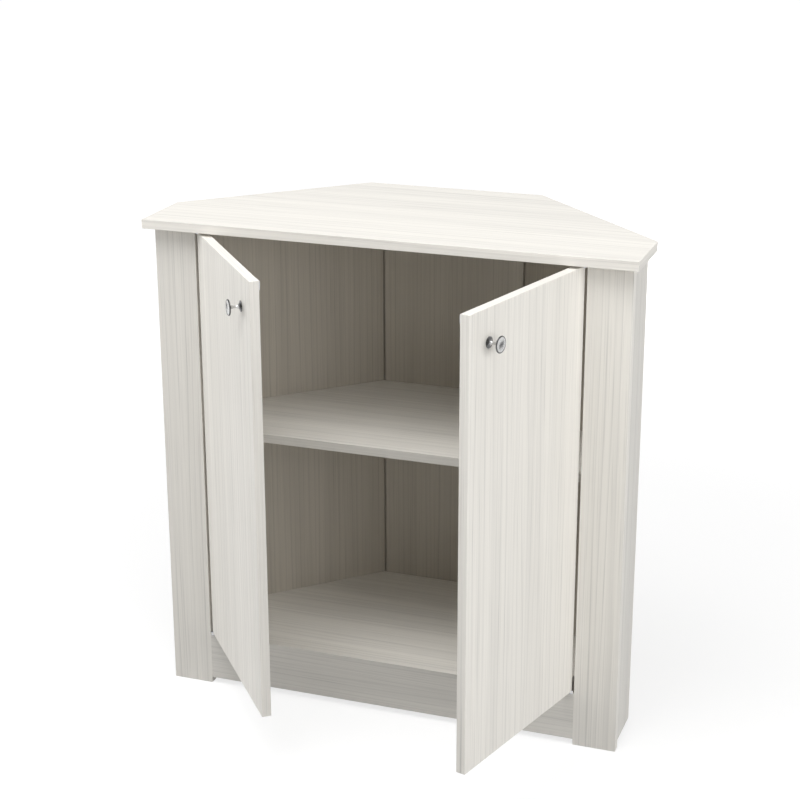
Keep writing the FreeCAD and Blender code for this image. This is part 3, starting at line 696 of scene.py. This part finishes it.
@dataclass(frozen=True)
class KnobFinish:
    """Polished metal with painted shade in the foot and round the disc's rim, which stands in for the shade and
    dark reflections there.
    """

    bright: Colour = (0.62, 0.62, 0.615, 1.0)
    # Dark colour of the random dull clouds, and of the painted shade in the foot and at the rim.
    dull_and_painted_shade: Colour = (0.07, 0.07, 0.073, 1.0)
    cloud_size: float = 3.0 * MM
    speck_size: float = 0.25 * MM
    cloud_dulling: float = 0.12
    foot_shade_limits: Range = (1.5 * MM, 6.5 * MM)
    rim_shade_limits: Range = (10.3 * MM, 11.1 * MM)
    painted_shade_share: float = 0.9
    roughness: Range = (0.15, 0.21)
    metallic: float = 1.0

    def material(self, name: str, seat: Matrix) -> bpy.types.Material:
        """Make the material of one knob.

        Args:
            name: Name of the material.
            seat: Place of the knob on its door.

        Returns:
            The material.
        """
        material, bench, shader = new_material(name)
        coordinate = bench.node("ShaderNodeTexCoord").outputs
        place = bench.mapped(coordinate["Object"], tuple(seat.to_euler()), seat.to_translation())
        x, y, height = bench.split(place)
        squares = [bench.math("MULTIPLY", part, part) for part in (x, y)]
        radius = bench.math("SQRT", bench.math("ADD", *squares))
        # Painted shade: the foot and the rim of the disc are darkened towards the dark colour.
        foot_shade = bench.remap(height, self.foot_shade_limits, FALLING, smooth=True)
        rim_shade = bench.remap(radius, self.rim_shade_limits, RISING, smooth=True)
        mottle = bench.group(
            Mottle().group(),
            Place=place,
            Cloud_Size=self.cloud_size,
            Speck_Size=self.speck_size,
        )
        clouds = bench.remap(mottle["Clouds"], NOISE_LIMITS, (0.0, self.cloud_dulling))
        painted_shade = bench.math("MULTIPLY", bench.math("MAXIMUM", foot_shade, rim_shade), self.painted_shade_share)
        share = bench.math("MAXIMUM", painted_shade, clouds)
        bench.feed(shader.inputs["Base Color"], bench.mix(share, self.bright, self.dull_and_painted_shade))
        roughness = bench.remap(mottle["Specks"], NOISE_LIMITS, self.roughness)
        bench.feed(shader.inputs["Roughness"], roughness)
        shader.inputs["Metallic"].default_value = self.metallic
        return material


ZINC_PLATE = MottledFinish(
    name="zinc_plated_steel",
    light=(0.68, 0.69, 0.71, 1.0),
    dark=(0.56, 0.57, 0.60, 1.0),
    roughness=(0.26, 0.42),
    metallic=1.0,
)
CAST_ZINC = MottledFinish(
    name="cast_zinc",
    light=(0.58, 0.58, 0.60, 1.0),
    dark=(0.46, 0.46, 0.48, 1.0),
    roughness=(0.38, 0.55),
    metallic=1.0,
    speck_size=0.4 * MM,
    relief=0.04 * MM,
)
MOULDED_PLASTIC = MottledFinish(
    name="moulded_white_plastic",
    light=(0.82, 0.81, 0.77, 1.0),
    dark=(0.77, 0.76, 0.72, 1.0),
    roughness=(0.36, 0.48),
)
TURNED_BEECH = MottledFinish(
    name="turned_beech",
    light=(0.66, 0.47, 0.29, 1.0),
    dark=(0.52, 0.35, 0.20, 1.0),
    roughness=(0.55, 0.7),
    cloud_size=3.0 * MM,
    relief=0.05 * MM,
)
FERRITE = MottledFinish(
    name="ferrite",
    light=(0.045, 0.045, 0.05, 1.0),
    dark=(0.025, 0.025, 0.03, 1.0),
    roughness=(0.5, 0.65),
    speck_size=0.3 * MM,
)
SLOT_FINISHES = {
    Slot.ZINC_STEEL: ZINC_PLATE,
    Slot.ZINC: CAST_ZINC,
    Slot.WHITE_PLASTIC: MOULDED_PLASTIC,
    Slot.DOWEL_BEECH: TURNED_BEECH,
    Slot.MAGNET: FERRITE,
}


# Boards


@dataclass
class Board:
    """One laminate board of the frame, with the run of its grain and the painted light and shade of its faces and
    edges.
    """

    node: str
    across: Vector
    along: Vector
    seed: float
    ring_spacing: float = 11.5 * MM
    ring_share: float = 1.0
    # Painted light and shade: tone scales the whole board's colour, and the edge level its narrow edges, for the
    # light that falls there.
    tone: float = 1.0
    painted_edge_level: float = 1.0
    diagonal: bool = False

    def centre(self) -> Vector:
        """Middle of the board's box."""
        low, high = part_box(self.node)
        return (low + high) / 2

    def turn(self) -> tuple[float, float, float]:
        """Angles that turn X across the board and Z along its grain."""
        through = self.along.cross(self.across)
        return tuple(Matrix((self.across, through, self.along)).transposed().to_euler())

    def dress(self, finish: LaminateFinish) -> None:
        """Give the board its own laminate.

        Args:
            finish: Finish to use.
        """
        frame["nodes"][self.node].material_slots[0].material = finish.material(self)
        log.info("dressed %s", self.node)


def rest_angle(side: Side) -> float:
    """Angle by which a door stands open at rest.

    Args:
        side: Side of the door.

    Returns:
        The angle in radians, from the hinge's lower limit, where the door is closed.
    """
    joint = next(j for j in frame["joints"] if j["child"] == side.value + "_leaf")
    return math.radians(-joint["range_deg"][0])


def door_turn(side: Side) -> Matrix:
    """Turn of a door from closed to its rest pose."""
    return Matrix.Rotation(rest_angle(side) * side.sign, 3, "Z")


@dataclass
class Carcass:
    """Fixed boards: top, bottom, shelf, front frame, returns and back panels."""

    finish: LaminateFinish = field(default_factory=LaminateFinish)
    # Painted shade: the back panels get a darker copy of the laminate, for the shade inside the cupboard.
    painted_shade_back_finish: LaminateFinish = LaminateFinish(pale=(0.545, 0.505, 0.44, 1.0))
    top_spacing: float = 14.0 * MM
    inner_spacing: float = 13.0 * MM
    narrow_spacing: float = 9.0 * MM

    def level_boards(self) -> list[Board]:
        """List the boards with their grain from side to side.

        Returns:
            Top, shelf, bottom and kick board.
        """
        return [
            Board(
                "top_panel",
                across=Y_AXIS,
                along=X_AXIS,
                seed=1.0,
                ring_spacing=self.top_spacing,
                ring_share=0.75,
                diagonal=True,
            ),
            Board(
                "shelf",
                across=Y_AXIS,
                along=X_AXIS,
                seed=2.0,
                ring_spacing=self.inner_spacing,
                ring_share=0.6,
                # Painted shade: the shelf's front edge is darkened.
                painted_edge_level=0.87,
                diagonal=True,
            ),
            Board(
                "bottom_panel",
                across=Y_AXIS,
                along=X_AXIS,
                seed=3.0,
                ring_spacing=self.inner_spacing,
                ring_share=0.6,
                # Painted light: the bottom panel is brightened.
                tone=1.05,
                diagonal=True,
            ),
            Board(
                "kick_board",
                across=Z_AXIS,
                along=X_AXIS,
                seed=4.0,
                ring_spacing=self.narrow_spacing,
                ring_share=0.65,
                # Painted shade and light: the kick board's front is darkened and its top edge brightened.
                tone=0.88,
                painted_edge_level=1.19,
            ),
        ]

    def side_boards(self, side: Side) -> list[Board]:
        """List the upright boards of one side.

        Args:
            side: Side of the cupboard.

        Returns:
            Stile, return and oblique back panel.
        """
        shift = side.seed_shift
        wall = Vector((side.sign * ROOT_HALF, -ROOT_HALF, 0))
        return [
            Board(side.value + "_stile", across=X_AXIS, along=Z_AXIS, seed=6.0 + shift),
            # Painted shade: the returns are darkened.
            Board(side.value + "_return", across=Y_AXIS, along=Z_AXIS, seed=8.0 + shift, tone=0.87),
            Board(
                side.value + "_back_panel",
                across=wall,
                along=Z_AXIS,
                seed=10.0 + shift,
                ring_spacing=self.narrow_spacing,
            ),
        ]

    def boards(self) -> list[Board]:
        """List the boards with their grain.

        Returns:
            The boards of the carcass.
        """
        listed = self.level_boards()
        listed.append(
            Board(
                "centre_back_panel",
                across=X_AXIS,
                along=Z_AXIS,
                seed=5.0,
                ring_spacing=self.narrow_spacing,
            )
        )
        for side in Side:
            listed.extend(self.side_boards(side))
        return listed

    def dress(self) -> None:
        """Dress every board."""
        for board in self.boards():
            board.dress(self.painted_shade_back_finish if board.node.endswith("back_panel") else self.finish)


@dataclass
class Hardware:
    """Fixings of the cupboard that keep their shape from the frame."""

    def dress(self) -> None:
        """Give each fixing the finish of its slot."""
        for part in frame["record"]["subparts"]:
            finish = SLOT_FINISHES.get(Slot(part["material_slot"]))
            if finish:
                frame["nodes"][part["node"]].material_slots[0].material = finish.material()
                log.info("dressed %s", part["node"])


# Knobs


@dataclass
class Knob:
    """Turned knob with a trumpet foot, a slim stem and a dished disc."""

    side: Side
    foot_radius: float = 8.5 * MM
    foot_rim: float = 0.8 * MM
    stem_radius: float = 1.9 * MM
    stem_start: float = 8.0 * MM
    stem_end: float = 10.8 * MM
    neck_radius: float = 3.0 * MM
    neck_height: float = 14.8 * MM
    disc_back: float = 17.8 * MM
    disc_radius: float = 12.5 * MM
    rim_width: float = 1.4 * MM
    projection: float = 20.2 * MM
    lip_width: float = 0.6 * MM
    lip_depth: float = 0.5 * MM
    dish_depth: float = 0.7 * MM
    dish_middle: float = 0.35 * MM
    segments: int = 72
    arc_steps: int = 10
    merge_distance: float = 0.001 * MM
    smooth_angle: float = 38.0

    @property
    def node(self) -> str:
        """Name of the frame's node."""
        return self.side.value + "_knob"

    def profile(self) -> list[tuple[float, float]]:
        """Outline from the foot's lower edge to the middle of the dish.

        Returns:
            Pairs of radius and height above the door.
        """
        quarter = [math.pi / 2 * step / self.arc_steps for step in range(self.arc_steps + 1)]
        rim_inner = self.disc_radius - self.rim_width
        points = [(self.foot_radius, 0.0)]
        flare = self.foot_radius - self.stem_radius
        rise = self.stem_start - self.foot_rim
        for angle in quarter:
            radius = self.stem_radius + flare * (1 - math.sin(angle))
            points.append((radius, self.foot_rim + rise * (1 - math.cos(angle))))
        points.append((self.stem_radius, self.stem_end))
        flare = rim_inner - self.neck_radius
        rise = self.disc_back - self.neck_height
        for angle in quarter:
            radius = self.neck_radius + flare * (1 - math.cos(angle))
            points.append((radius, self.neck_height + rise * math.sin(angle)))
        rise = (self.projection - self.disc_back) / 2
        for angle in [2 * part for part in quarter[1:]]:
            radius = rim_inner + self.rim_width * math.sin(angle)
            points.append((radius, self.disc_back + rise * (1 - math.cos(angle))))
        dish_edge = rim_inner - self.lip_width
        dish_floor = self.projection - self.lip_depth - self.dish_depth
        sphere = (dish_edge ** 2 + self.dish_depth ** 2) / (2 * self.dish_depth)
        for step in range(self.arc_steps + 1):
            radius = dish_edge + (self.dish_middle - dish_edge) * step / self.arc_steps
            points.append((radius, dish_floor + sphere - math.sqrt(sphere ** 2 - radius ** 2)))
        return points

    def seat(self) -> Matrix:
        """Place of the knob on its door.

        Returns:
            Matrix that sets a knob modelled along Z on the door's face.
        """
        outward = door_turn(self.side) @ -Y_AXIS
        sideways = Z_AXIS.cross(outward)
        points = [vertex.co for vertex in frame["nodes"][self.node].data.vertices]
        depth = min(point.dot(outward) for point in points)
        spread = [point.dot(sideways) for point in points]
        low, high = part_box(self.node)
        middle = (min(spread) + max(spread)) / 2
        origin = outward * depth + sideways * middle + Z_AXIS * (low.z + high.z) / 2
        upward = outward.cross(sideways)
        turn = Matrix((sideways, upward, outward)).transposed()
        return Matrix.Translation(origin) @ turn.to_4x4()

    def build(self) -> bpy.types.Object:
        """Model the knob ring by ring and set it on its door.

        Returns:
            The finished piece.
        """
        bpy.ops.object.select_all(action="DESELECT")
        outline = self.profile()
        bpy.ops.mesh.primitive_circle_add(
            vertices=self.segments, radius=outline[0][0], fill_type="NGON"
        )
        piece = bpy.context.object
        piece.name = self.side.value + "_turned_knob"
        bpy.ops.object.mode_set(mode="EDIT")
        bpy.ops.mesh.select_all(action="SELECT")
        for (radius, height), (next_radius, next_height) in zip(outline, outline[1:]):
            lift = {"value": (0, 0, next_height - height)}
            bpy.ops.mesh.extrude_region_move(TRANSFORM_OT_translate=lift)
            share = next_radius / radius
            bpy.ops.transform.resize(value=(share, share, 1), center_override=(0, 0, next_height))
        bpy.ops.mesh.select_all(action="SELECT")
        bpy.ops.mesh.remove_doubles(threshold=self.merge_distance)
        bpy.ops.mesh.normals_make_consistent(inside=False)
        bpy.ops.object.mode_set(mode="OBJECT")
        bpy.ops.object.shade_smooth_by_angle(angle=math.radians(self.smooth_angle))
        piece.matrix_world = self.seat()
        bpy.ops.object.transform_apply(location=True, rotation=True, scale=True)
        return piece

    def dress(self, piece: bpy.types.Object) -> None:
        """Finish the knob and let it ride on its door.

        Args:
            piece: The modelled knob.
        """
        metal = KnobFinish().material(self.side.value + "_knob_metal", self.seat())
        piece.data.materials.append(metal)
        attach(piece, self.side.value + "_leaf")
        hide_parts(self.node)
        log.info("built %s", piece.name)


@dataclass
class Door:
    """One slab door with its knob."""

    side: Side
    finish: LaminateFinish = field(default_factory=LaminateFinish)
    seed: float = 12.0
    ring_share: float = 0.9
    # Painted light: the doors are brightened.
    tone: float = 1.035

    def board(self) -> Board:
        """Door leaf with its grain upright.

        Returns:
            The board.
        """
        return Board(
            self.side.value + "_door",
            across=door_turn(self.side) @ (X_AXIS * -self.side.sign),
            along=Z_AXIS,
            seed=self.seed + self.side.seed_shift,
            ring_share=self.ring_share,
            tone=self.tone,
        )

    def build(self) -> None:
        """Dress the leaf and set the knob on it."""
        self.board().dress(self.finish)
        knob = Knob(self.side)
        knob.dress(knob.build())


# Studio


@dataclass(frozen=True)
class Lamp:
    """Soft lamp aimed at the cupboard's middle, which reflections show only where it is set so."""

    name: str
    azimuth: float
    elevation: float
    power: float
    size: float = 2.0
    distance: float = 3.2
    reflected: bool = False


@dataclass(frozen=True)
class Card:
    """Dark upright card that only shows in reflections."""

    place: tuple[float, float, float]
    size: tuple[float, float]


@dataclass
class Studio:
    """Floor, light and camera."""

    target: Vector = field(default_factory=lambda: Vector((0, -0.25, 0.42)))
    lamps: tuple[Lamp, ...] = (
        Lamp("key_lamp", azimuth=-25.0, elevation=60.0, power=43.5),
        Lamp("top_lamp", azimuth=0.0, elevation=75.0, power=46.0, reflected=True),
        Lamp("fill_lamp", azimuth=40.0, elevation=55.0, power=16.0, reflected=True),
        Lamp("left_side_lamp", azimuth=-80.0, elevation=14.0, power=43.0),
        Lamp("right_side_lamp", azimuth=80.0, elevation=14.0, power=37.5),
        Lamp("right_front_lamp", azimuth=40.0, elevation=14.0, power=28.0),
        Lamp("left_front_lamp", azimuth=-45.0, elevation=30.0, power=2.2, size=1.4, distance=2.2),
        Lamp("rear_lamp", azimuth=180.0, elevation=0.0, power=26.0, size=0.7, reflected=True),
    )
    dome_colour: Colour = grey(1.0)
    dome_strength: float = 0.01
    background_strength: float = 1.0
    floor_half: float = 30.0
    floor_drop: float = 0.2 * MM
    floor_glow: Range = (0.74, 1.0)
    floor_fade: Range = (0.7, 2.4)
    floor_shade: float = 0.3
    floor_bounce: float = 0.4
    cards: tuple[Card, ...] = (
        Card(place=(1.18, 0.18, 0.38), size=(0.36, 0.14)),
        Card(place=(-1.18, -0.12, 0.38), size=(0.28, 0.14)),
    )
    card_colour: Colour = (0.03, 0.03, 0.032, 1.0)
    card_roughness: float = 1.0
    camera_place: tuple[float, float, float] = (0.937063, -2.885792, 1.488092)
    camera_azimuth: float = 19.7477
    camera_elevation: float = 19.1061
    camera_roll: float = -0.1362
    camera_lens: float = 82.267
    camera_sensor: float = 36.0

    def _by_view(self, bench: NodeBench, light: Socket, look: Socket) -> Socket:
        """Choose between what lights the stage and what shows, straight or in a reflection.

        Args:
            bench: Bench of the material or the world.
            light: Shader for the rays that carry light.
            look: Shader for the rays that look at it.

        Returns:
            Socket of the chosen shader.
        """
        path = bench.node("ShaderNodeLightPath").outputs
        straight = bench.math("MAXIMUM", path["Is Camera Ray"], path["Is Glossy Ray"])
        seen = bench.math("MAXIMUM", straight, path["Is Transmission Ray"])
        return bench.fed(bench.node("ShaderNodeMixShader"), (seen, light, look))

    def build_floor(self) -> None:
        """Lay a pale floor that looks white and keeps a faint shadow."""
        bpy.ops.object.select_all(action="DESELECT")
        bpy.ops.mesh.primitive_plane_add(size=2 * self.floor_half, location=(0, 0, -self.floor_drop))
        floor = bpy.context.object
        floor.name = "studio_floor"
        material = bpy.data.materials.new("pale_floor")
        bench = blank_bench(material)
        away = bench.node("ShaderNodeVectorMath", operation="LENGTH")
        bench.feed(away.inputs[0], bench.node("ShaderNodeTexCoord").outputs["Object"])
        strength = bench.remap(away.outputs["Value"], self.floor_fade, self.floor_glow, smooth=True)
        glow = bench.shader("ShaderNodeEmission", Strength=strength)
        shade = bench.shader("ShaderNodeBsdfDiffuse", Color=grey(self.floor_shade))
        look = bench.fed(bench.node("ShaderNodeAddShader"), (glow, shade))
        bounce = bench.shader("ShaderNodeBsdfDiffuse", Color=grey(self.floor_bounce))
        output = bench.node("ShaderNodeOutputMaterial")
        bench.feed(output.inputs["Surface"], self._by_view(bench, bounce, look))
        floor.data.materials.append(material)

    def build_cards(self) -> None:
        """Stand a dark card on each side, so that bright metal has contrast."""
        material, _, shader = new_material("dark_card")
        shader.inputs["Base Color"].default_value = self.card_colour
        shader.inputs["Roughness"].default_value = self.card_roughness
        for card in self.cards:
            bpy.ops.object.select_all(action="DESELECT")
            away = Vector(card.place) - self.target
            turn = Vector((away.x, away.y, 0)).to_track_quat("Z", "Y").to_euler()
            bpy.ops.mesh.primitive_plane_add(size=1, location=card.place, rotation=turn)
            plane = bpy.context.object
            plane.scale = (*card.size, 1)
            plane.name = "studio_card"
            plane.data.materials.append(material)
            plane.visible_camera = False
            plane.visible_diffuse = False
            plane.visible_shadow = False
            plane.visible_transmission = False

    def build_world(self) -> None:
        """Surround the stage with a soft dome that looks white."""
        world = bpy.data.worlds.new("studio_dome")
        bench = blank_bench(world)
        dome, look = [
            bench.shader("ShaderNodeBackground", Color=self.dome_colour, Strength=strength)
            for strength in (self.dome_strength, self.background_strength)
        ]
        output = bench.node("ShaderNodeOutputWorld")
        bench.feed(output.inputs["Surface"], self._by_view(bench, dome, look))
        bpy.context.scene.world = world

    def build_lamps(self) -> None:
        """Hang the lamps round the cupboard."""
        for lamp in self.lamps:
            away = direction(lamp.azimuth, lamp.elevation)
            data = bpy.data.lights.new(lamp.name, "AREA")
            data.energy = lamp.power
            data.size = lamp.size
            light = bpy.data.objects.new(lamp.name, data)
            light.location = self.target + away * lamp.distance
            light.rotation_euler = (-away).to_track_quat("-Z", "Y").to_euler()
            light.visible_glossy = lamp.reflected
            bpy.context.scene.collection.objects.link(light)

    def build_camera(self) -> None:
        """Set the camera at the photographed angle."""
        back = direction(self.camera_azimuth, self.camera_elevation)
        right = Z_AXIS.cross(back).normalized()
        turn = Matrix((right, back.cross(right), back)).transposed()
        roll = Matrix.Rotation(math.radians(self.camera_roll), 3, "Z")
        data = bpy.data.cameras.new("camera")
        data.sensor_width = self.camera_sensor
        data.lens = self.camera_lens
        camera = bpy.data.objects.new("camera", data)
        camera.matrix_world = Matrix.Translation(self.camera_place) @ (turn @ roll).to_4x4()
        bpy.context.scene.collection.objects.link(camera)
        bpy.context.scene.camera = camera

    def build(self) -> None:
        """Set up the whole stage."""
        bpy.context.scene.view_settings.view_transform = "Standard"
        self.build_floor()
        self.build_cards()
        self.build_world()
        self.build_lamps()
        self.build_camera()


def main() -> None:
    """Build every part of the scene in order."""
    logging.basicConfig(level=logging.INFO)
    Hardware().dress()
    Carcass().dress()
    for side in Side:
        Door(side).build()
    Studio().build()


if __name__ == "__main__":
    main()
